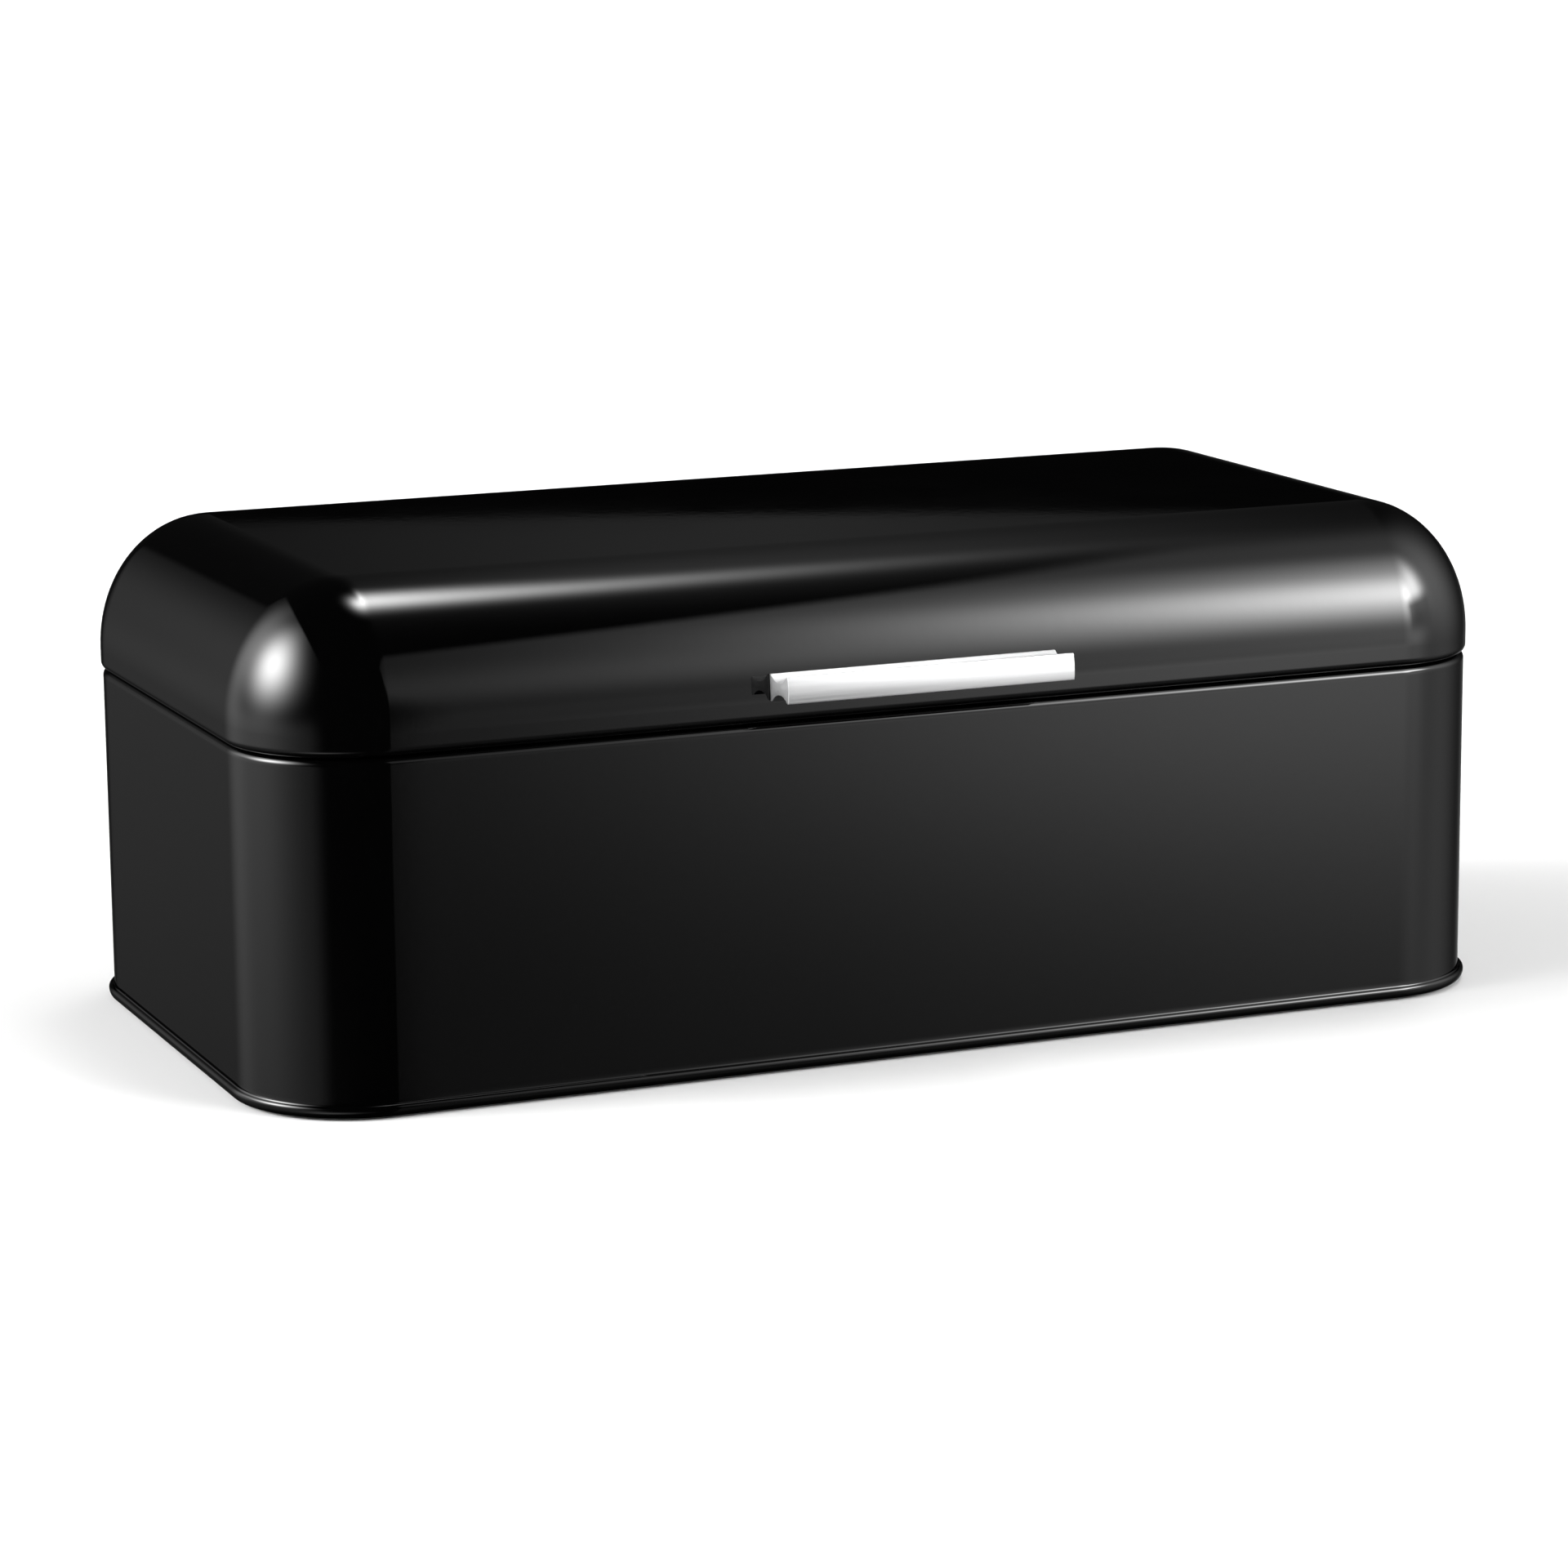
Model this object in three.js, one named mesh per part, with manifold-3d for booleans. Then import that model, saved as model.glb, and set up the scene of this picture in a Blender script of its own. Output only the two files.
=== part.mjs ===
// Retro bread box: pressed steel body and lid, aluminium bar handle, two riveted rear hinges.
// Millimetres, +Z up, the front with the handle faces -Y.
import * as THREE from 'three';
import { mergeVertices } from 'three/addons/utils/BufferGeometryUtils.js';
import Module from 'manifold-3d';

const wasm = await Module();
wasm.setup();

// Driving dimensions. Heights are counted from the underside of the bottom bead.
const bodyLength = 420;
const bodyDepth = 210;
const cornerRadius = 38;
const sheet = 0.6;
const closedHeight = 159;
const partingHeight = 109.3; // shoulder that the lid's edge rests on
const restGap = 0.3; // between pieces that rest on each other
const slimGap = 0.15; // between small fastened pieces
const footLift = 0.6; // how far the rubber feet hold the bead off the table

const lidOverhang = 0.6;
const lidCurl = 2.5;
const lidStraight = 4.55; // upright part of the lid's edge, above its curl
const shoulderWidth = 36;
const shoulderSteps = 10;

const rimCurl = 2;
const neckInset = 2.9;
const neckTop = 115;
const neckHem = 4.4;

const beadProud = 1.8;
const beadTop = 4;
const footFlare = 0.9;
const panTop = 5;

const handle = { length: 96, height: 8.4, reach: 15, offset: -2, level: 120.2 };
const grip = { flange: 1.5, lip: 1.1, scoop: 2.25, crown: 0.5 };
const screw = { spacing: 64, shank: 1.5, head: 2.8, headHeight: 2, depth: 5.2, clearance: 0.3 };
const washer = { outer: 3.5, thickness: 0.5 };

const hinge = { offset: 130, width: 32, sheet: 0.8, knuckle: 2, pin: 1, pinClearance: 0.2 };
const bodyLeaf = { bottom: 88, top: 104.6 };
const lidLeaf = { bottom: 112.2, top: 124 };
const middleKnuckle = 10.4;
const knuckleGap = 0.4;
const stopLug = { reach: 6, thickness: 1.2 };
const rivet = { spread: 10, shank: 1.5, head: 2.8, dome: 1.1, tail: 2.4, tailHeight: 0.8 };
const rivetLevels = { body: 96, lid: 119 };
const rivetLean = 0.4; // how far in the lid's surface has leaned at the top of a rivet's tail

const vent = { radius: 2.5, count: 5, first: 30, pitch: 14, level: 82 };
const wallSeam = { width: 8, proud: 0.7, bottom: 7, top: 104 };
const foot = { radius: 9, taper: 0.5, x: 160, y: 58 };

const cornerSteps = 8;
const arcSteps = 4;
const turnedSides = 10;
const washerSides = 16;

// Worked out from the dimensions above.
const centreX = bodyLength / 2 - cornerRadius;
const centreY = bodyDepth / 2 - cornerRadius;
const lidRadius = cornerRadius + lidOverhang;
const curlHeight = partingHeight + restGap + lidCurl;
const springHeight = curlHeight + lidStraight; // where the lid's wide rounding starts
const lidBack = bodyDepth / 2 + lidOverhang;
const hingeY = lidBack + slimGap + hinge.knuckle;

const enamel = { color: 0x0d0d0e, roughness: 0.08, metalness: 0.0 };
const aluminium = { color: 0xdcdde0, roughness: 0.35, metalness: 1.0 };
const brightSteel = { color: 0xa8a9ac, roughness: 0.28, metalness: 1.0 };
const rubber = { color: 0x141414, roughness: 0.85, metalness: 0.0 };

function piece(name, geometry, finish) {
  const mesh = new THREE.Mesh(geometry, new THREE.MeshStandardMaterial(finish));
  mesh.name = name;
  return mesh;
}

// Points of a circular or elliptical arc, angles in degrees.
function arc(centre, radii, from, to, steps) {
  const points = [];
  for (let step = 0; step <= steps; step++) {
    const angle = THREE.MathUtils.degToRad(from + (to - from) * step / steps);
    points.push([centre[0] + radii[0] * Math.cos(angle), centre[1] + radii[1] * Math.sin(angle)]);
  }
  return points;
}

// A lathe that stops turning after each quarter and runs straight to the next corner.
// The profile is a list of [corner radius, height]; a radius of 0 is the middle of the box.
function corneredLathe(profile) {
  const columns = 4 * (cornerSteps + 1);
  const outline = profile.map(([radius, height]) => new THREE.Vector2(radius, height));
  const geometry = new THREE.LatheGeometry(outline, columns);
  const position = geometry.attributes.position;
  for (let column = 0; column <= columns; column++) {
    const quarter = Math.floor(column / (cornerSteps + 1)) % 4;
    const turn = (quarter + (column % (cornerSteps + 1)) / cornerSteps) * Math.PI / 2;
    const sideX = quarter === 0 || quarter === 3 ? 1 : -1;
    const sideY = quarter < 2 ? 1 : -1;
    profile.forEach(([radius, height], row) => {
      const x = radius > 0 ? sideX * centreX + radius * Math.cos(turn) : 0;
      const y = radius > 0 ? sideY * centreY + radius * Math.sin(turn) : 0;
      position.setXYZ(column * profile.length + row, x, y, height);
    });
  }
  return geometry;
}

function toSolid(geometry) {
  const bare = geometry.clone();
  bare.deleteAttribute('normal');
  bare.deleteAttribute('uv');
  const merged = mergeVertices(bare, 1e-4);
  const corners = merged.index.array;
  const triangles = [];
  for (let i = 0; i < corners.length; i += 3) {
    const [a, b, c] = [corners[i], corners[i + 1], corners[i + 2]];
    if (a !== b && b !== c && c !== a) triangles.push(a, b, c);
  }
  const vertProperties = new Float32Array(merged.attributes.position.array);
  return new wasm.Manifold(new wasm.Mesh({ numProp: 3, vertProperties, triVerts: new Uint32Array(triangles) }));
}

function toGeometry(solid) {
  const mesh = solid.getMesh();
  const geometry = new THREE.BufferGeometry();
  geometry.setAttribute('position', new THREE.BufferAttribute(mesh.vertProperties, 3));
  geometry.setIndex(new THREE.BufferAttribute(mesh.triVerts, 1));
  return geometry;
}

function cut(geometry, cutters) {
  const solid = cutters.reduce((left, cutter) => left.subtract(toSolid(cutter)), toSolid(geometry));
  return toGeometry(solid);
}

function join(geometries) {
  const [first, ...others] = geometries.map(toSolid);
  return toGeometry(others.reduce((sum, solid) => sum.add(solid), first));
}

function block(x0, x1, y0, y1, z0, z1) {
  const geometry = new THREE.BoxGeometry(x1 - x0, y1 - y0, z1 - z0);
  return geometry.translate((x0 + x1) / 2, (y0 + y1) / 2, (z0 + z1) / 2);
}

// A round cutter that goes right through a rear wall, along Y.
function rearHole(x, z, radius) {
  return new THREE.CylinderGeometry(radius, radius, 12, turnedSides).translate(x, bodyDepth / 2, z);
}

// A section drawn in the Y-Z plane and drawn out along X, centred on X = 0.
function drawnOut(shape, length) {
  const geometry = new THREE.ExtrudeGeometry(shape, { depth: length, bevelEnabled: false, curveSegments: 8 });
  const axes = new THREE.Matrix4().makeBasis(
    new THREE.Vector3(0, 1, 0), new THREE.Vector3(0, 0, 1), new THREE.Vector3(1, 0, 0));
  return geometry.applyMatrix4(axes).translate(-length / 2, 0, 0);
}

function rivetPlaces(level) {
  const places = [];
  for (const [side, sign] of [['left', -1], ['right', 1]]) {
    places.push({ name: `${side}_outer`, x: sign * (hinge.offset + rivet.spread), z: level });
    places.push({ name: `${side}_inner`, x: sign * (hinge.offset - rivet.spread), z: level });
  }
  return places;
}

const rivetHoles = (level) => rivetPlaces(level).map(({ x, z }) => rearHole(x, z, rivet.shank + slimGap));

// Wall: flared foot, upright side, rim curled in to a shoulder, neck with a folded top.
function bodyWall() {
  const rimCentre = [cornerRadius - rimCurl, partingHeight - rimCurl];
  const neck = cornerRadius - neckInset;
  const inside = cornerRadius - sheet;
  const profile = [
    [cornerRadius + footFlare, 1.2],
    [cornerRadius + footFlare, beadTop],
    [cornerRadius + 0.55, 4.7],
    [cornerRadius + 0.15, 5.5],
    [cornerRadius, 6.4],
    ...arc(rimCentre, [rimCurl, rimCurl], 0, 90, arcSteps),
    [neck, partingHeight],
    [neck, neckTop],
    [neck - 2 * sheet, neckTop],
    [neck - 2 * sheet, neckTop - neckHem],
    [neck - sheet, neckTop - neckHem],
    [neck - sheet, partingHeight - sheet],
    ...arc(rimCentre, [rimCurl - sheet, rimCurl - sheet], 90, 0, arcSteps),
    [inside, 6.2],
    [inside + 0.15, 5.3],
    [inside + 0.55, 4.4],
    [inside + footFlare, 3.8],
    [inside + footFlare, 1.2],
    [cornerRadius + footFlare, 1.2],
  ];
  const seam = block(-wallSeam.width / 2, wallSeam.width / 2, bodyDepth / 2 - sheet / 2,
    bodyDepth / 2 + wallSeam.proud, wallSeam.bottom, wallSeam.top);
  const vents = [];
  for (const side of [-1, 1]) {
    for (let i = 0; i < vent.count; i++) {
      vents.push(rearHole(side * (vent.first + i * vent.pitch), vent.level, vent.radius));
    }
  }
  return cut(join([corneredLathe(profile), seam]), [...rivetHoles(rivetLevels.body), ...vents]);
}

// Pan: a raised flat floor whose edge turns down, under the wall's foot and up again as the bead.
function basePan() {
  const outer = cornerRadius + beadProud;
  const inner = cornerRadius - sheet - restGap;
  const beadRadius = 1.5;
  const profile = [
    [0, panTop - sheet],
    [inner - sheet - 0.4, panTop - sheet],
    [inner - sheet, panTop - sheet - 0.4],
    [inner - sheet, 0.5],
    [inner, 0],
    ...arc([outer - beadRadius, beadRadius], [beadRadius, beadRadius], -90, 0, arcSteps),
    [outer, beadTop - 1.1],
    [outer - 0.15, beadTop - 0.4],
    [outer - sheet, beadTop],
    [outer - sheet, 1.4],
    [outer - 1.5, sheet],
    [inner + 0.4, sheet],
    [inner, 1],
    [inner, panTop - 0.4],
    [inner - 0.4, panTop],
    [0, panTop],
  ];
  return corneredLathe(profile);
}

// Lid: flat top, elliptical shoulder all round, short upright edge curled in at the bottom.
function lidShell(handlePlace) {
  const flat = lidRadius - shoulderWidth;
  const rise = closedHeight - springHeight;
  const curlCentre = [lidRadius - lidCurl, curlHeight];
  const shoulder = [flat, springHeight];
  const profile = [
    [0, closedHeight - sheet],
    ...arc(shoulder, [shoulderWidth - sheet, rise - sheet], 90, 0, shoulderSteps),
    ...arc(curlCentre, [lidCurl - sheet, lidCurl - sheet], 0, -90, arcSteps),
    ...arc(curlCentre, [lidCurl, lidCurl], -90, 0, arcSteps),
    ...arc(shoulder, [shoulderWidth, rise], 0, 90, shoulderSteps),
    [0, closedHeight],
  ];
  const screwHoles = [-1, 1].map((side) => {
    const radius = screw.shank + screw.clearance;
    const hole = new THREE.CylinderGeometry(radius, radius, 8, turnedSides);
    return hole.translate(side * screw.spacing / 2, 0, 0).applyMatrix4(handlePlace);
  });
  return cut(corneredLathe(profile), [...rivetHoles(rivetLevels.lid), ...screwHoles]);
}

// The handle's own axes: the lid's surface at Y = 0, the front of the bar towards -Y.
function handlePlacement() {
  const rise = closedHeight - springHeight;
  const up = (handle.level - springHeight) / rise;
  const inset = shoulderWidth * (1 - Math.sqrt(1 - up * up));
  const lean = Math.atan(shoulderWidth / rise * up / Math.sqrt(1 - up * up));
  const turned = new THREE.Matrix4().makeRotationX(-lean);
  return turned.setPosition(handle.offset, -(lidBack - inset), handle.level);
}

// Bar: an extrusion with a scoop along its top and bottom for the finger tips.
function handleBar() {
  const half = handle.height / 2;
  const back = -restGap;
  const front = -handle.reach + grip.crown;
  const chord = [-grip.flange, front + grip.lip];
  const middle = (chord[0] + chord[1]) / 2;
  const halfChord = (chord[0] - chord[1]) / 2;
  const radius = (halfChord ** 2 + grip.scoop ** 2) / (2 * grip.scoop);
  const spread = THREE.MathUtils.radToDeg(Math.asin(halfChord / radius));
  const scoopCentre = half + radius - grip.scoop;
  const crownSteps = 6;
  const outline = [[back, -half], [back, half]];
  outline.push(...arc([middle, scoopCentre], [radius, radius], -90 + spread, -90 - spread, 10));
  for (let step = 0; step <= crownSteps; step++) {
    const across = 1 - 2 * step / crownSteps;
    outline.push([front - grip.crown * (1 - across * across), half * across]);
  }
  outline.push(...arc([middle, -scoopCentre], [radius, radius], 90 + spread, 90 - spread, 10));
  const shape = new THREE.Shape(outline.map(([y, z]) => new THREE.Vector2(y, z)));
  const holes = [-1, 1].map((side) => {
    const bore = screw.shank + screw.clearance;
    const length = screw.depth + screw.clearance + 1;
    return new THREE.CylinderGeometry(bore, bore, length, turnedSides)
      .translate(side * screw.spacing / 2, 1 - length / 2, 0);
  });
  return cut(drawnOut(shape, handle.length), holes);
}

// Turned pieces stand along Y, from the first height to the last.
function turnedPiece(profile, segments) {
  return new THREE.LatheGeometry(profile.map(([radius, along]) => new THREE.Vector2(radius, along)), segments);
}

function handleScrew() {
  const headStart = sheet + 2 * slimGap + washer.thickness;
  const headTop = headStart + screw.headHeight;
  return turnedPiece([
    [0, -screw.depth],
    [screw.shank - 0.4, -screw.depth],
    [screw.shank, -screw.depth + 0.4],
    [screw.shank, headStart],
    [screw.head, headStart],
    [screw.head, headTop - 0.8],
    [screw.head * 0.7, headTop],
    [0, headTop],
  ], turnedSides);
}

function handleWasher() {
  const start = sheet + slimGap;
  const hole = screw.shank + slimGap;
  return turnedPiece([
    [hole, start],
    [washer.outer, start],
    [washer.outer, start + washer.thickness],
    [hole, start + washer.thickness],
    [hole, start],
  ], washerSides);
}

// Rolled knuckle of a hinge leaf, on the pin's line.
function knuckle(x0, x1) {
  const ring = new THREE.Shape().absarc(hingeY, partingHeight, hinge.knuckle, 0, 2 * Math.PI);
  const bore = hinge.pin + hinge.pinClearance;
  ring.holes.push(new THREE.Path().absarc(hingeY, partingHeight, bore, 0, 2 * Math.PI, true));
  return drawnOut(ring, x1 - x0).translate((x0 + x1) / 2, 0, 0);
}

function cutLeaf(blank, level) {
  return cut(blank, [-1, 1].map((side) => rearHole(side * rivet.spread, level, rivet.shank + slimGap)));
}

// Strip of sheet that joins a leaf's plate to its knuckle.
function tongue(points, x0, x1) {
  const shape = new THREE.Shape(points.map(([y, z]) => new THREE.Vector2(y, z)));
  return drawnOut(shape, x1 - x0).translate((x0 + x1) / 2, 0, 0);
}

function hingeBodyLeaf() {
  const half = hinge.width / 2;
  const start = middleKnuckle / 2 + knuckleGap;
  const plateY = bodyDepth / 2 + slimGap;
  const rollY = hingeY - hinge.knuckle;
  const neck = [
    [plateY, bodyLeaf.top - 1],
    [plateY + hinge.sheet, bodyLeaf.top - 1],
    [rollY + hinge.sheet, partingHeight - 2],
    [rollY + hinge.sheet, partingHeight],
    [rollY + 0.05, partingHeight],
    [rollY + 0.05, partingHeight - 2],
  ];
  const blank = join([
    block(-half, half, plateY, plateY + hinge.sheet, bodyLeaf.bottom, bodyLeaf.top),
    tongue(neck, -half, -start),
    tongue(neck, start, half),
    knuckle(-half, -start),
    knuckle(start, half),
  ]);
  return cutLeaf(blank, rivetLevels.body);
}

// The lug on the middle knuckle meets the body leaf's plate and stops the open lid.
function hingeLidLeaf() {
  const half = hinge.width / 2;
  const middle = middleKnuckle / 2;
  const plateY = hingeY - hinge.knuckle;
  const neck = [
    [plateY + 0.02, partingHeight],
    [plateY + hinge.sheet, partingHeight],
    [plateY + hinge.sheet, lidLeaf.bottom + 1],
    [plateY + 0.02, lidLeaf.bottom + 1],
  ];
  const blank = join([
    block(-half, half, plateY, plateY + hinge.sheet, lidLeaf.bottom, lidLeaf.top),
    tongue(neck, -middle, middle),
    knuckle(-middle, middle),
    block(-middle, middle, hingeY + hinge.knuckle - 0.4, hingeY + stopLug.reach,
      partingHeight - stopLug.thickness / 2, partingHeight + stopLug.thickness / 2),
  ]);
  return cutLeaf(blank, rivetLevels.lid);
}

function hingePin() {
  const half = hinge.width / 2 + slimGap;
  const head = hinge.pin + 0.7;
  const end = half + 0.7;
  return turnedPiece([
    [0, -end], [head - 0.4, -end], [head, -half], [hinge.pin, -half],
    [hinge.pin, half], [head, half], [head - 0.4, end], [0, end],
  ], turnedSides).rotateZ(Math.PI / 2);
}

// Rivet through a leaf and the sheet under it: tail inside, dome outside.
function hingeRivet(wallInside, leafOutside) {
  const tailTop = wallInside - slimGap;
  const domeBase = leafOutside + slimGap;
  return turnedPiece([
    [0, tailTop - rivet.tailHeight],
    [rivet.tail, tailTop - rivet.tailHeight],
    [rivet.tail, tailTop],
    [rivet.shank, tailTop],
    [rivet.shank, domeBase],
    [rivet.head, domeBase],
    [rivet.head * 0.86, domeBase + rivet.dome * 0.55],
    [rivet.head * 0.5, domeBase + rivet.dome * 0.9],
    [0, domeBase + rivet.dome],
  ], turnedSides);
}

function rubberFoot() {
  const height = panTop - sheet - slimGap + footLift;
  return new THREE.CylinderGeometry(foot.radius, foot.radius - foot.taper, height, 20)
    .rotateX(Math.PI / 2).translate(0, 0, height / 2 - footLift);
}

const breadBox = new THREE.Group();

// Body side.
breadBox.add(piece('body_wall', bodyWall(), enamel));
breadBox.add(piece('base_pan', basePan(), enamel));
for (const [depthName, y] of [['front', -foot.y], ['rear', foot.y]]) {
  for (const [sideName, x] of [['left', -foot.x], ['right', foot.x]]) {
    const pad = piece(`foot_${depthName}_${sideName}`, rubberFoot(), rubber);
    pad.position.set(x, y, 0);
    breadBox.add(pad);
  }
}

// Lid with its handle.
const handlePlace = handlePlacement();
breadBox.add(piece('lid_shell', lidShell(handlePlace), enamel));
const handleGroup = new THREE.Group();
handleGroup.applyMatrix4(handlePlace);
handleGroup.add(piece('handle_bar', handleBar(), aluminium));
for (const [sideName, x] of [['left', -screw.spacing / 2], ['right', screw.spacing / 2]]) {
  const screwMesh = piece(`handle_screw_${sideName}`, handleScrew(), brightSteel);
  const washerMesh = piece(`handle_washer_${sideName}`, handleWasher(), brightSteel);
  screwMesh.position.x = x;
  washerMesh.position.x = x;
  handleGroup.add(screwMesh, washerMesh);
}
breadBox.add(handleGroup);

// Rear hinges.
for (const [sideName, x] of [['left', -hinge.offset], ['right', hinge.offset]]) {
  const hingeGroup = new THREE.Group();
  hingeGroup.position.x = x;
  const pin = piece(`hinge_pin_${sideName}`, hingePin(), brightSteel);
  pin.position.set(0, hingeY, partingHeight);
  hingeGroup.add(piece(`hinge_body_leaf_${sideName}`, hingeBodyLeaf(), enamel));
  hingeGroup.add(piece(`hinge_lid_leaf_${sideName}`, hingeLidLeaf(), enamel));
  hingeGroup.add(pin);
  breadBox.add(hingeGroup);
}
const bodyRivet = [bodyDepth / 2 - sheet, bodyDepth / 2 + slimGap + hinge.sheet];
const lidRivet = [lidBack - sheet - rivetLean, lidBack + slimGap + hinge.sheet];
const riveted = [['body', rivetLevels.body, bodyRivet], ['lid', rivetLevels.lid, lidRivet]];
for (const [bodyName, level, faces] of riveted) {
  for (const { name, x, z } of rivetPlaces(level)) {
    const rivetMesh = piece(`${bodyName}_rivet_${name}`, hingeRivet(...faces), brightSteel);
    rivetMesh.position.set(x, 0, z);
    breadBox.add(rivetMesh);
  }
}

// Origin: on the table, under the middle of the whole box with its handle and hinges.
breadBox.updateMatrixWorld(true);
const extent = new THREE.Box3().setFromObject(breadBox, true);
breadBox.position.set(0, -(extent.min.y + extent.max.y) / 2, -extent.min.z);

export default breadBox;
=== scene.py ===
from math import atan, cos, degrees, pi, radians, sin, sqrt

import bpy
from mathutils import Matrix, Vector


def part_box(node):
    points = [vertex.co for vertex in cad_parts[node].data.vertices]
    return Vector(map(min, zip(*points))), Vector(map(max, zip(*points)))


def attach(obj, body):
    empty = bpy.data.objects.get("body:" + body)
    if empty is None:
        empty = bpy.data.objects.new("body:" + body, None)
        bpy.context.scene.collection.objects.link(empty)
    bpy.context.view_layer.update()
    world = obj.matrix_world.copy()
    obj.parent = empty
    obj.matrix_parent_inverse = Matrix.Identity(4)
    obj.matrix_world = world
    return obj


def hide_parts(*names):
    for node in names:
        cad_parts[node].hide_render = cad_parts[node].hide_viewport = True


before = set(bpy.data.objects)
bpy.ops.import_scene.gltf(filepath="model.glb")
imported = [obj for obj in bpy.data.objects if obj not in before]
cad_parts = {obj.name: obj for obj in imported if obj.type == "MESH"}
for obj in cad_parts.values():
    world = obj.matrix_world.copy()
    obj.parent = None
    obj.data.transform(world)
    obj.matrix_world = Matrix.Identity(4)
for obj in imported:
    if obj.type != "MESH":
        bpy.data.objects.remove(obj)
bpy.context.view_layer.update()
print("frame loaded:", len(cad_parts), "nodes")

mm = 0.001
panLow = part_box("base_pan")[0]
lidLow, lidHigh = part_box("lid_shell")
boxMiddle = Vector((0, (lidLow.y + lidHigh.y) / 2, panLow.z))    # level with the bead's underside

# Sizes are in millimetres from the middle of the box, heights from the bead's underside.
# An edge's support is a narrow row of faces beside a curve, which keeps the flat next to it flat.
box = {
    "length": 420, "depth": 210, "corner": 38, "cornerSteps": 36, "support": 1.0,
    "sheet": 0.6, "parting": 109.3, "smoothAngle": 30,
}
weld, near = 1e-6, 1e-5    # metres: how close points meet, and how close a point is to a level
cornerX = (box["length"] / 2 - box["corner"]) * mm
cornerY = (box["depth"] / 2 - box["corner"]) * mm


def objectMode():
    if bpy.context.object and bpy.context.object.mode != "OBJECT":
        bpy.ops.object.mode_set(mode="OBJECT")


def takeUp(piece):
    objectMode()
    bpy.ops.object.select_all(action="DESELECT")
    piece.select_set(True)
    bpy.context.view_layer.objects.active = piece


def addPrimitive(name, operator, **values):
    objectMode()
    bpy.ops.object.select_all(action="DESELECT")
    operator(**values)
    piece = bpy.context.object
    piece.name = name
    bpy.ops.object.transform_apply(location=True, rotation=True, scale=True)
    return piece


def pick(piece, kind, test):    # test gets a vertex, an edge's two ends, or a face's middle and normal
    takeUp(piece)
    bpy.ops.object.mode_set(mode="EDIT")
    bpy.ops.mesh.select_mode(type=kind)
    bpy.ops.mesh.select_all(action="DESELECT")
    bpy.ops.object.mode_set(mode="OBJECT")
    mesh = piece.data
    if kind == "VERT":
        for vertex in mesh.vertices:
            vertex.select = test(vertex.co)
    elif kind == "EDGE":
        for edge in mesh.edges:
            edge.select = test(*(mesh.vertices[i].co for i in edge.vertices))
    else:
        for face in mesh.polygons:
            face.select = test(face.center, face.normal)
    bpy.ops.object.mode_set(mode="EDIT")


def pull(x=0.0, y=0.0, z=0.0):
    bpy.ops.mesh.extrude_region_move(TRANSFORM_OT_translate={"value": (x, y, z)})


def closeUp(piece):    # weld what meets and turn the faces outwards
    takeUp(piece)
    bpy.ops.object.mode_set(mode="EDIT")
    bpy.ops.mesh.select_mode(type="VERT")
    bpy.ops.mesh.select_all(action="SELECT")
    bpy.ops.mesh.remove_doubles(threshold=weld)
    bpy.ops.mesh.normals_make_consistent(inside=False)
    bpy.ops.object.mode_set(mode="OBJECT")


def arc(centre, radii, start, end, steps):    # angles in degrees
    points = []
    for step in range(steps + 1):
        angle = radians(start + (end - start) * step / steps)
        points.append((centre[0] + radii[0] * cos(angle), centre[1] + radii[1] * sin(angle)))
    return points


def drawLine(name, points):    # a single vertex, extruded from point to point
    piece = addPrimitive(name, bpy.ops.mesh.primitive_plane_add, size=mm)
    bpy.ops.object.mode_set(mode="EDIT")
    bpy.ops.mesh.select_mode(type="VERT")
    bpy.ops.mesh.select_all(action="SELECT")
    bpy.ops.mesh.merge(type="CENTER")
    bpy.ops.transform.translate(value=points[0])
    for here, there in zip(points, points[1:]):
        pull(*(there - here))
    return piece


def modify(piece, kind, **values):
    takeUp(piece)
    bpy.ops.object.modifier_add(type=kind)
    modifier = piece.modifiers[-1]
    for name, value in values.items():
        setattr(modifier, name, value)
    bpy.ops.object.modifier_apply(modifier=modifier.name)


def cutAway(piece, *cutters):
    for cutter in cutters:
        modify(piece, "BOOLEAN", operation="DIFFERENCE", solver="EXACT", object=cutter)
        bpy.data.objects.remove(cutter)


def growOn(piece, *additions):
    for addition in additions:
        modify(piece, "BOOLEAN", operation="UNION", solver="EXACT", object=addition)
        bpy.data.objects.remove(addition)


# The profile, as [distance from the corner's centre, height], is spun round one corner, drawn out
# straight to the middle of each side, and mirrored to the other three quarters.
def corneredShell(name, profile, seamHalf=None):
    points = [Vector((cornerX + reach * mm, cornerY, height * mm)) for reach, height in profile]
    piece = drawLine(name, points)
    bpy.ops.mesh.select_all(action="SELECT")
    bpy.ops.mesh.spin(steps=box["cornerSteps"], angle=pi / 2, center=(cornerX, cornerY, 0), axis=(0, 0, -1))
    bpy.ops.mesh.select_all(action="SELECT")
    bpy.ops.mesh.remove_doubles(threshold=weld)
    support = box["support"] * mm
    pick(piece, "VERT", lambda place: abs(place.y - cornerY) < weld)
    for step in (support, cornerY - support):
        pull(y=-step)
    pick(piece, "VERT", lambda place: abs(place.x - cornerX) < weld)
    lengths = [support, cornerX - support]
    if seamHalf is not None:
        lengths = [support, cornerX - support - seamHalf, seamHalf]
    for step in lengths:
        pull(x=-step)
    modify(piece, "MIRROR", use_axis=(True, True, False), merge_threshold=weld)
    closeUp(piece)
    return piece


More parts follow.
